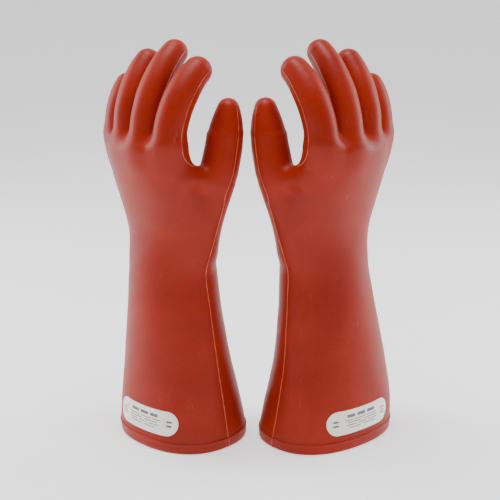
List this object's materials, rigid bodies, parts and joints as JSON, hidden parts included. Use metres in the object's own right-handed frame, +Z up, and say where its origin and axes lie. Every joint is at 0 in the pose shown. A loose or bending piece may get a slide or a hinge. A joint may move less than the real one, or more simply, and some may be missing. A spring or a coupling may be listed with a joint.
{
  "type": "electrical insulating gloves",
  "caption": "Pair of moulded rubber insulating gloves with flared gauntlet cuffs and softly curled fingers, standing upright on their cuffs, palms away.",
  "frame": {"origin": "centre of the pair's footprint, on the surface that the cuffs stand on", "axes": "+Z up the gloves from cuff to fingertips, +X from the left-hand glove to the right-hand glove, -Y the side that the thumbs and backs face"},
  "size_m": [0.2453, 0.1247, 0.3417],
  "materials": {
    "rubber": "semi-matte moulded natural rubber, orange-red, very slightly mottled",
    "rubber_bead": "thin moulding bead, paler where it has been trimmed",
    "label": "off-white printed film label, matte"
  },
  "bodies": {
    "left_gauntlet": {"left_gauntlet_back": "rubber", "left_gauntlet_palm": "rubber", "left_gauntlet_seam": "rubber_bead", "left_cuff_band": "rubber", "left_label": "label"},
    "left_hand": {"left_hand_back": "rubber", "left_hand_palm": "rubber", "left_hand_seam": "rubber_bead"},
    "left_thumb": {"left_thumb_back": "rubber", "left_thumb_palm": "rubber", "left_thumb_seam": "rubber_bead"},
    "left_index": {"left_index_back": "rubber", "left_index_palm": "rubber", "left_index_seam": "rubber_bead"},
    "left_middle": {"left_middle_back": "rubber", "left_middle_palm": "rubber", "left_middle_seam": "rubber_bead"},
    "left_ring": {"left_ring_back": "rubber", "left_ring_palm": "rubber", "left_ring_seam": "rubber_bead"},
    "left_little": {"left_little_back": "rubber", "left_little_palm": "rubber", "left_little_seam": "rubber_bead"},
    "right_gauntlet": {"right_gauntlet_back": "rubber", "right_gauntlet_palm": "rubber", "right_gauntlet_seam": "rubber_bead", "right_cuff_band": "rubber", "right_label": "label"},
    "right_hand": {"right_hand_back": "rubber", "right_hand_palm": "rubber", "right_hand_seam": "rubber_bead"},
    "right_thumb": {"right_thumb_back": "rubber", "right_thumb_palm": "rubber", "right_thumb_seam": "rubber_bead"},
    "right_index": {"right_index_back": "rubber", "right_index_palm": "rubber", "right_index_seam": "rubber_bead"},
    "right_middle": {"right_middle_back": "rubber", "right_middle_palm": "rubber", "right_middle_seam": "rubber_bead"},
    "right_ring": {"right_ring_back": "rubber", "right_ring_palm": "rubber", "right_ring_seam": "rubber_bead"},
    "right_little": {"right_little_back": "rubber", "right_little_palm": "rubber", "right_little_seam": "rubber_bead"}
  },
  "joints": [
    {"name": "left_wrist_flex", "type": "hinge", "parent": "left_gauntlet", "child": "left_hand", "pos_m": [-0.069, 0.0055, 0.155], "axis": [-0.7193, 0.6947, 0], "range_deg": [-20, 2], "stiffness_Nm_per_rad": 3},
    {"name": "left_thumb_flex", "type": "hinge", "parent": "left_hand", "child": "left_thumb", "pos_m": [-0.02648, -0.02483, 0.24278], "axis": [-0.9998, -0.0175, 0], "range_deg": [-10, 30], "stiffness_Nm_per_rad": 0.12},
    {"name": "left_index_flex", "type": "hinge", "parent": "left_hand", "child": "left_index", "pos_m": [-0.06488, -0.04996, 0.27197], "axis": [-0.7176, 0.693, 0.0698], "range_deg": [-10, 20], "stiffness_Nm_per_rad": 0.12},
    {"name": "left_middle_flex", "type": "hinge", "parent": "left_hand", "child": "left_middle", "pos_m": [-0.0852, -0.03314, 0.27198], "axis": [-0.7191, 0.6944, 0.0262], "range_deg": [-10, 45], "stiffness_Nm_per_rad": 0.12},
    {"name": "left_ring_flex", "type": "hinge", "parent": "left_hand", "child": "left_ring", "pos_m": [-0.10079, -0.0115, 0.27199], "axis": [-0.7193, 0.6946, -0.0087], "range_deg": [-10, 45], "stiffness_Nm_per_rad": 0.12},
    {"name": "left_little_flex", "type": "hinge", "parent": "left_hand", "child": "left_little", "pos_m": [-0.11086, 0.01557, 0.26894], "axis": [-0.7166, 0.692, -0.0872], "range_deg": [-10, 45], "stiffness_Nm_per_rad": 0.12},
    {"name": "right_glove_apart", "type": "slide", "parent": "left_gauntlet", "child": "right_gauntlet", "axis": [1, 0, 0], "range_m": [0, 0.3]},
    {"name": "right_wrist_flex", "type": "hinge", "parent": "right_gauntlet", "child": "right_hand", "pos_m": [0.06, 0.0055, 0.155], "axis": [-0.766, -0.6428, 0], "range_deg": [-20, 2], "stiffness_Nm_per_rad": 3},
    {"name": "right_thumb_flex", "type": "hinge", "parent": "right_hand", "child": "right_thumb", "pos_m": [0.01547, -0.02179, 0.24278], "axis": [-0.9962, 0.0872, 0], "range_deg": [-10, 30], "stiffness_Nm_per_rad": 0.12},
    {"name": "right_index_flex", "type": "hinge", "parent": "right_hand", "child": "right_index", "pos_m": [0.05202, -0.04954, 0.27197], "axis": [-0.7642, -0.6412, -0.0698], "range_deg": [-10, 20], "stiffness_Nm_per_rad": 0.12},
    {"name": "right_middle_flex", "type": "hinge", "parent": "right_hand", "child": "right_middle", "pos_m": [0.07347, -0.03417, 0.27198], "axis": [-0.7658, -0.6426, -0.0262], "range_deg": [-10, 45], "stiffness_Nm_per_rad": 0.12},
    {"name": "right_ring_flex", "type": "hinge", "parent": "right_hand", "child": "right_ring", "pos_m": [0.09053, -0.01368, 0.27199], "axis": [-0.766, -0.6428, 0.0087], "range_deg": [-10, 45], "stiffness_Nm_per_rad": 0.12},
    {"name": "right_little_flex", "type": "hinge", "parent": "right_hand", "child": "right_little", "pos_m": [0.10246, 0.01263, 0.26894], "axis": [-0.7631, -0.6403, 0.0872], "range_deg": [-10, 45], "stiffness_Nm_per_rad": 0.12}
  ]
}
